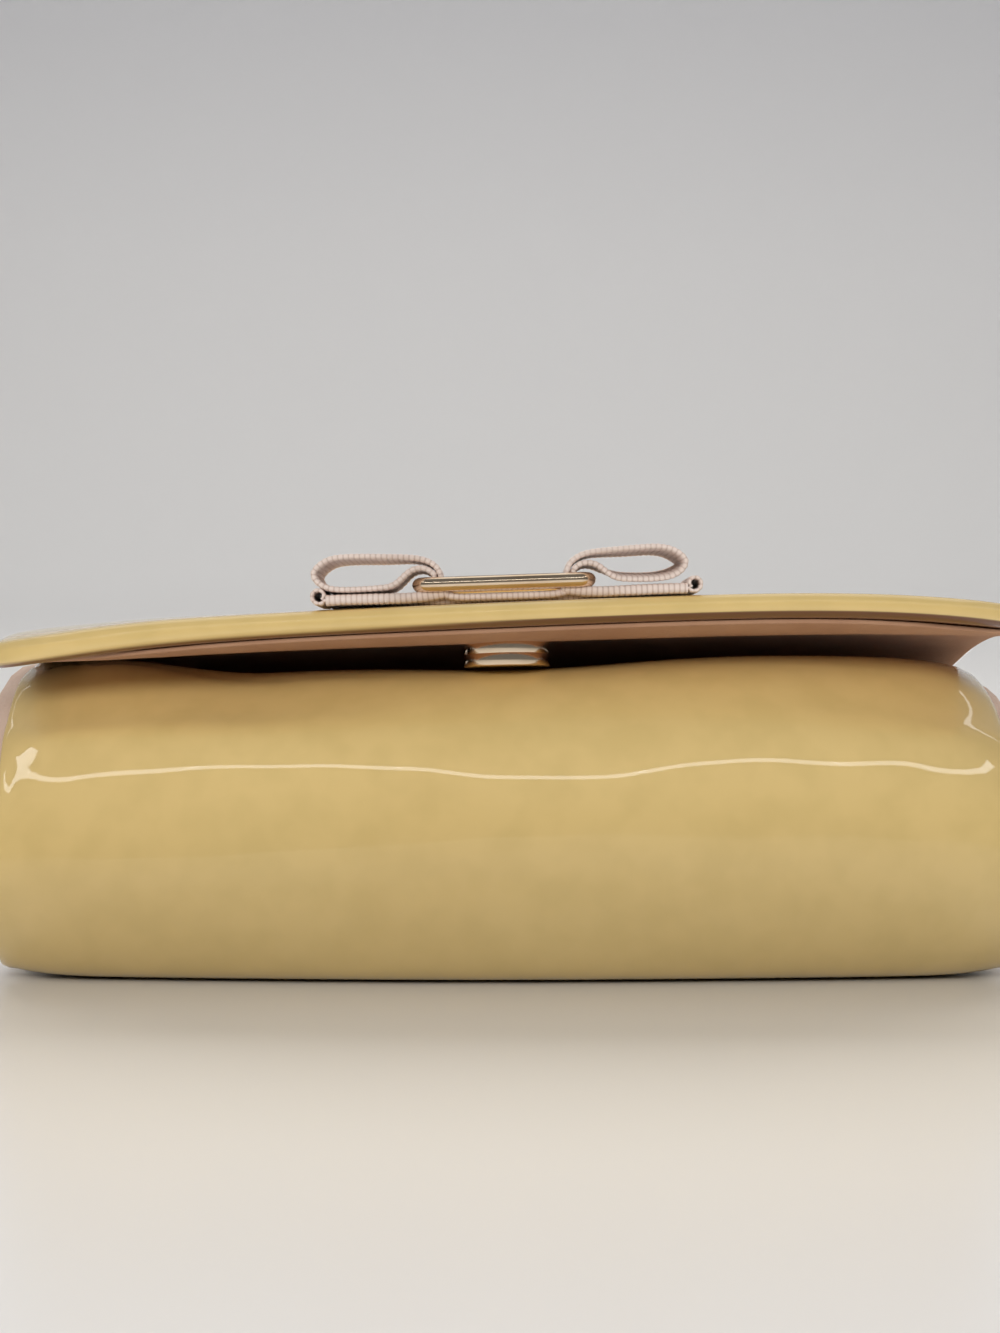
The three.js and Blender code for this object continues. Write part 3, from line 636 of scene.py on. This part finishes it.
def bow_loop(side):
    """A loop runs up from the buckle, out and round its end, and back under itself over the end bar."""
    node = "bow_loop_" + side
    low, high = bow_box(node)
    sign = -1 if side == "left" else 1
    reach = max(abs(low.x), abs(high.x)) - LOOP_THICK / 2
    top = high.z - LOOP_THICK / 2
    under = low.z + LOOP_THICK / 2 + 0.25
    bar = (abs(BUCKLE_LOW.x) if side == "left" else abs(BUCKLE_HIGH.x)) - END_BAR
    inner = bar - 0.3 - LOOP_THICK / 2
    outer = inner - 0.3 - LOOP_THICK
    rise = BUCKLE_HIGH.z + 0.3 + LOOP_THICK / 2
    base = BUCKLE_LOW.z + 0.8
    line = [
        (outer, base),
        (outer, BUCKLE_HIGH.z - 0.4),
        (outer + 1.0, top - 2.0),
        (outer + 4.2, top - 0.45),
        (outer + 11, top - 0.1),
        (reach - 5, top),
        (reach - 1.7, top - 1),
        (reach - 0.1, (top + under) / 2),
        (reach - 1.6, under + 0.9),
        (reach - 5, under),
        (bar + 9, under + 0.1),
        (bar + 6.3, under + 0.8),
        (bar + 3.4, rise + 0.4),
        (bar + 1, rise + 0.8),
        (inner + 0.1, BUCKLE_HIGH.z + 0.6),
        (inner, BUCKLE_HIGH.z - 0.6),
        (inner, base),
    ]
    line = [(sign * x, z) for x, z in line]
    if sign > 0:
        line.reverse()

    def lean(place):
        """The right loop's lower layer tips towards the front."""
        if sign < 0 or place.x < bar + 2:
            return 0.0
        return 1.9 * eased(top - place.z, 1.0, top - under) * eased(place.x, bar + 2, bar + 7)

    ribbon_piece(node + "_ribbon", line, LOOP_THICK, node, lean=lean)


def bow_tail(side):
    """A tail lies on the flap and ends in a small open roll."""
    node = "bow_tail_" + side
    low, high = bow_box(node)
    sign = -1 if side == "left" else 1
    end = max(abs(low.x), abs(high.x))
    start = min(abs(low.x), abs(high.x)) - 1.2
    flat = low.z + TAIL_THICK / 2 - 0.25
    body = [
        (start, flat + 0.9),
        (start + 2, flat + 0.6),
        (start + 5, flat + 0.2),
        (start + 9, flat),
        (end - 7, flat + 0.05),
        (end - 3.2, flat),
    ]
    roll_x = end - HEM_ROLL - HEM_THICK / 2
    roll_z = low.z + HEM_ROLL + 0.1
    hem = []
    for i in range(10):
        turn = math.radians(-150 + 42 * i)
        radius = HEM_ROLL * (1 - 0.045 * i)
        hem.append((roll_x + radius * math.cos(turn), roll_z + radius * math.sin(turn)))
    for part, points, thick in (("ribbon", body, TAIL_THICK), ("hem", hem, HEM_THICK)):
        line = [(sign * x, z) for x, z in points]
        if sign > 0:
            line.reverse()
        ribbon_piece(node + "_" + part, line, thick, node)


def bow_middle():
    """The band across the bow's middle, and the ribbon that lies under it on the flap."""
    low, high = BAND_LOW, BAND_HIGH
    thick = high.z - low.z - 0.1
    mid = (low.z + high.z) / 2 - 0.1
    turned_up = ((0, 0.5), (0.08, 0.15), (0.2, 0), (0.5, 0), (0.8, 0), (0.92, 0.15), (1, 0.5))
    line = [(low.x + (high.x - low.x) * share, mid + up) for share, up in turned_up]
    ribbon_piece("bow_band_ribbon", line, thick, "bow_band", half_at=lambda x: high.y - 0.1)
    base = [(x, low.z + 0.1) for x in (-22, -11, 0, 11, 22)]
    ribbon_piece("bow_base_ribbon", base, 1.2, None, half_at=lambda x: high.y - 2.5)


def bow_buckle():
    """The bare plate with its two slots, and the round rim that runs about it."""
    centre, half = (BUCKLE_LOW + BUCKLE_HIGH) / 2, (BUCKLE_HIGH - BUCKLE_LOW) / 2
    plate = merged_copy("bow_buckle")
    bmesh.ops.dissolve_limit(plate, angle_limit=math.radians(2), verts=plate.verts, edges=plate.edges)
    round_edges(plate, 0.3, angle=50, segments=2)
    inside_rim = Vector(((half.x - 0.7) / half.x, (half.y - 0.7) / half.y, 0.72))
    to_plate = Matrix.Translation(-centre * MM) @ BOW_BACK
    bmesh.ops.scale(plate, vec=inside_rim, space=to_plate, verts=plate.verts)
    plate_mesh = to_mesh(plate, "bow_buckle_plate", sharp=28)
    finish_piece("bow_buckle_plate", plate_mesh, GOLD, "gold_metal", "bow_buckle")
    corner = PLATE_CORNER - RIM_SIDE
    flat = Vector((half.x - PLATE_CORNER, half.y - PLATE_CORNER))

    def place(u, v):
        turn = 2 * math.pi * u
        around = 2 * math.pi * v
        out = Vector((math.cos(turn), math.sin(turn)))
        side = Vector([min(1.0, max(-1.0, part * 5)) for part in out])
        middle = Vector((side.x * flat.x, side.y * flat.y)) + out * corner
        across = middle + out * RIM_SIDE * math.cos(around)
        return centre + Vector((across.x, across.y, half.z * math.sin(around)))

    rim = swept(96, 20, place)
    bmesh.ops.transform(rim, matrix=BOW, verts=rim.verts)
    finish_piece("bow_buckle_rim", to_mesh(rim, "bow_buckle_rim"), GOLD, "gold_metal")


# Tabs, rings and the chain

def tabs_and_rings():
    for side in ("left", "right"):
        node = "tab_" + side
        tab = round_edges(merged_copy(node), 0.45, angle=50, segments=3)
        finish_piece(node + "_leather", to_mesh(tab, node, sharp=40), PATENT, "patent_leather", node)
        node = "ring_" + side
        ring = subdivided(merged_copy(node), 2)
        finish_piece(node + "_wire", to_mesh(ring, node), GOLD, "gold_metal", node)


LINK_HALF = 4.1
LINK_WIDE = 2.2
LINK_WIRE = 0.78
LINK_PITCH = 2 * (LINK_HALF - LINK_WIRE) - 0.1
LINK_LIE = 45
LINKS_TO_SETTLE = 7
RING_WIRE = 1.1

# The radius of the tube that the chain is in the CAD
CHAIN_RADIUS = 3.0


def chain_way():
    """The line that the chain's links follow: from ring to ring in three bends, flat behind the bag."""
    low, high = (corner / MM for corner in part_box("chain"))
    ring_low, ring_high = (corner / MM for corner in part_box("ring_right"))
    side = (ring_low.x + ring_high.x) / 2
    turn = side / 3
    far = high.y - CHAIN_RADIUS - turn
    near = low.y + turn
    height = 0.71 * LINK_WIDE + LINK_WIRE
    start = ring_high.y - RING_WIRE + LINK_HALF - LINK_WIRE - RING_WIRE
    ring_z = (ring_low.z + ring_high.z) / 2

    def bend(x, y, sign):
        for i in range(9):
            angle = math.pi * i / 8
            way.append((x - turn * math.cos(angle), y + sign * turn * math.sin(angle), height))

    def run(x, from_y, to_y, shares):
        way.extend((x, from_y + (to_y - from_y) * share, height) for share in shares)

    way = [(-side, start, ring_z), (-side, start + 7, ring_z - 1.2), (-side, start + 16, height + 0.4)]
    run(-side, low.y, far, (0.2, 0.4, 0.6, 0.8))
    bend(-2 * turn, far, 1)
    run(-turn, far, near, (0.25, 0.5, 0.75))
    bend(0, near, -1)
    run(turn, near, far, (0.25, 0.5, 0.75))
    bend(2 * turn, far, 1)
    run(side, low.y, far, (0.8, 0.6, 0.4, 0.2))
    way += [(side, start + 16, height + 0.4), (side, start + 7, ring_z - 1.2), (side, start, ring_z)]
    return way


def link_mesh():
    """One oval link of round wire, along X."""
    straight = LINK_HALF - LINK_WIDE

    def place(u, v):
        turn = 2 * math.pi * u
        around = 2 * math.pi * v
        out = Vector((math.cos(turn), math.sin(turn), 0))
        shift = math.copysign(straight, out.x) * min(1, abs(out.x) * 3)
        centre = Vector((out.x * LINK_WIDE + shift, out.y * LINK_WIDE, 0))
        return centre + (out * math.cos(around) + UP * math.sin(around)) * LINK_WIRE

    shape = swept(16, 6, place)
    mesh = bpy.data.meshes.new("link")
    shape.to_mesh(mesh)
    shape.free()
    return mesh


def chain():
    """Links slant in turn to one side and the other. By the rings they stand and lie flat in turn."""
    way = chain_way()
    _, length = smooth_line(way, 4)
    count = round(length / LINK_PITCH) + 1
    places, _ = smooth_line(way, count)
    link = link_mesh()
    whole = bmesh.new()
    for i, (centre, along) in enumerate(places):
        from_end = min(i, count - 1 - i)
        upright = LINK_LIE * max(0.0, 1 - from_end / LINKS_TO_SETTLE)
        turn = LINK_LIE + 90 * (i % 2) + (upright if (i < count / 2) or count % 2 else -upright)
        across = UP.cross(along).normalized()
        stand = Matrix((along, across, along.cross(across))).transposed().to_4x4()
        place = Matrix.Translation(centre * MM) @ stand @ Matrix.Rotation(math.radians(turn), 4, "X")
        before = len(whole.verts)
        whole.from_mesh(link)
        whole.verts.ensure_lookup_table()
        bmesh.ops.transform(whole, matrix=place, verts=whole.verts[before:])
    finish_piece("chain_links", to_mesh(whole, "chain_links"), GOLD, "gold_metal", "chain")


body_panel()
gussets()
flap_outer()
flap_inner()
snap_disc("snap_socket", "snap_socket_disc", deeper=0.4)
snap_disc("snap_stud", "snap_stud_disc")
bow_loop("left")
bow_loop("right")
bow_tail("left")
bow_tail("right")
bow_middle()
bow_buckle()
tabs_and_rings()
chain()


# The stage: a pale floor that sweeps up into a backdrop

SWEEP_NEAR = -2.4
SWEEP_FAR = 1.6
SWEEP_RADIUS = 0.5
SWEEP_HEIGHT = 3.0
SWEEP_HALF_WIDTH = 3.0

# The shares of the sweep's strips that are floor, and floor and curve
FLOOR_SHARE = 0.4
CURVE_SHARE = 0.8


def sweep_place(along):
    """The Y and Z of the sweep at a share of its strips."""
    if along < FLOOR_SHARE:
        return SWEEP_NEAR + (SWEEP_FAR - SWEEP_NEAR) * along / FLOOR_SHARE, 0
    if along < CURVE_SHARE:
        turn = (along - FLOOR_SHARE) / (CURVE_SHARE - FLOOR_SHARE) * math.pi / 2
        return SWEEP_FAR + SWEEP_RADIUS * math.sin(turn), SWEEP_RADIUS * (1 - math.cos(turn))
    up = (along - CURVE_SHARE) / (1 - CURVE_SHARE)
    return SWEEP_FAR + SWEEP_RADIUS, SWEEP_RADIUS + (SWEEP_HEIGHT - SWEEP_RADIUS) * up


def studio_paper():
    """Pale paper with painted shade that greys it up the backdrop, and satin on the floor but matt towards
    the back.
    """
    made, shader = new_material("studio_paper")
    place = add_node(made, "ShaderNodeTexCoord")
    split = add_node(made, "ShaderNodeSeparateXYZ")
    join(made, place.outputs["Object"], split.inputs["Vector"])
    # Painted shade: the paper darkens from pale near the floor to grey high up the backdrop.
    up = add_node(made, "ShaderNodeMapRange", From_Min=0.15, From_Max=0.85)
    join(made, split.outputs["Z"], up.inputs["Value"])
    tone = colour_ramp(made, up.outputs["Result"], 0, 1, (0.88, 0.87, 0.86), (0.53, 0.53, 0.55))
    join(made, tone, shader.inputs["Base Color"])
    matt = add_node(made, "ShaderNodeMapRange", From_Min=0.9, From_Max=1.3, To_Min=0.25, To_Max=0.9)
    join(made, split.outputs["Y"], matt.inputs["Value"])
    join(made, matt.outputs["Result"], shader.inputs["Roughness"])
    return made


def add_stage():
    shape = bmesh.new()
    bmesh.ops.create_grid(shape, x_segments=2, y_segments=48, size=1.0)
    for vert in shape.verts:
        y, z = sweep_place((vert.co.y + 1) / 2)
        vert.co = (vert.co.x * SWEEP_HALF_WIDTH, y, z)
    bmesh.ops.recalc_face_normals(shape, faces=shape.faces)
    sweep = bpy.data.objects.new("sweep", to_mesh(shape, "sweep"))
    sweep.data.materials.append(studio_paper())
    bpy.context.scene.collection.objects.link(sweep)


# Light: soft lamps, and a long thin curved one that draws the sheen along the front panel

BAG_MIDDLE = Vector((0, 0, 0.04))
WHITE = (1, 1, 1)

# Name, place, what it is aimed at, watts, width, height, tone, and whether glossy surfaces mirror it
LAMPS = (
    ("ceiling", (0, 0.6, 1.5), BAG_MIDDLE, 3.6, 1.6, 0.9, (1.0, 0.98, 0.96), True),
    ("behind", (0, 1.2, 1.0), BAG_MIDDLE, 22.5, 1.8, 0.7, (1.0, 0.975, 0.94), False),
    ("high", (0, -1.1, 1.5), BAG_MIDDLE, 2.2, 2.4, 1.2, (1.0, 0.97, 0.93), False),
    ("front", (-0.2, -1.5, 0.64), BAG_MIDDLE, 12.6, 2.0, 0.4, (1.0, 0.97, 0.92), False),
    ("backdrop", (0, 1.0, 1.25), (0, 2.0, 0.15), 8.0, 2.8, 0.5, WHITE, True),
)

ARC_REACH = 1.25
ARC_LAMPS = 11
ARC_SPAN = 88
ARC_GLOW = 5.0
ARC_THICK = 0.055

# The long lamp's rise in degrees in the middle, how much more it rises to the sides, and how soon
ARC_RISE = 32
ARC_SIDE_RISE = 9
ARC_SIDE_TURN = 35


def facing(where, at, along=Vector((1, 0, 0))):
    """The frame of a lamp at a place that shines at a point, with its long side along a direction."""
    where = Vector(where)
    back = (where - Vector(at)).normalized()
    along = (along - back * along.dot(back)).normalized()
    return Matrix.Translation(where) @ Matrix((along, back.cross(along), back)).transposed().to_4x4()


def add_lamp(name, place, power, width, height, tone=WHITE, mirrored=True):
    """A rectangular lamp, which can be left out of what glossy surfaces mirror."""
    lamp = bpy.data.lights.new(name, "AREA")
    lamp.shape = "RECTANGLE"
    lamp.size = width
    lamp.size_y = height
    lamp.energy = power
    lamp.color = tone
    holder = bpy.data.objects.new(name, lamp)
    holder.matrix_world = place
    holder.visible_camera = False
    holder.visible_glossy = mirrored
    bpy.context.scene.collection.objects.link(holder)


def arc_place(turn):
    """A point of the long curved lamp, at a turn to the side in degrees."""
    rise = math.radians(ARC_RISE + ARC_SIDE_RISE * (1 - math.exp(-((turn / ARC_SIDE_TURN) ** 2))))
    away = math.radians(turn)
    height = BAG_MIDDLE.z + ARC_REACH * math.tan(rise)
    return Vector((ARC_REACH * math.sin(away), -ARC_REACH * math.cos(away), height))


def light_scene():
    world = bpy.data.worlds.new("room")
    world.use_nodes = True
    set_sockets(world.node_tree.nodes["Background"], Color=(0.98, 0.99, 1.0, 1), Strength=0.15)
    bpy.context.scene.world = world
    for name, where, at, power, width, height, tone, mirrored in LAMPS:
        add_lamp(name, facing(where, at), power, width, height, tone, mirrored)
    step = 2 * ARC_SPAN / ARC_LAMPS
    for i in range(ARC_LAMPS):
        start = arc_place(-ARC_SPAN + step * i)
        end = arc_place(-ARC_SPAN + step * (i + 1))
        long = (end - start).length
        place = facing((start + end) / 2, BAG_MIDDLE, end - start)
        add_lamp("arc_" + str(i), place, ARC_GLOW * math.pi * long * ARC_THICK, long * 1.01, ARC_THICK)


# The camera, level and close in front of the bag's bottom, as the photograph was taken
CAMERA_PLACE = (-1.27 * MM, -503.5 * MM, 58.6 * MM)
CAMERA_LENS_MM = 89.5
SENSOR_MM = 36


def set_up_camera():
    lens = bpy.data.cameras.new("camera")
    lens.sensor_fit = "HORIZONTAL"
    lens.sensor_width = SENSOR_MM
    lens.lens = CAMERA_LENS_MM
    lens.clip_start = 0.01
    camera = bpy.data.objects.new("camera", lens)
    camera.location = CAMERA_PLACE
    camera.rotation_euler = (math.radians(90), 0, 0)
    bpy.context.scene.collection.objects.link(camera)
    bpy.context.scene.camera = camera
    bpy.context.scene.view_settings.view_transform = "Standard"


add_stage()
light_scene()
set_up_camera()
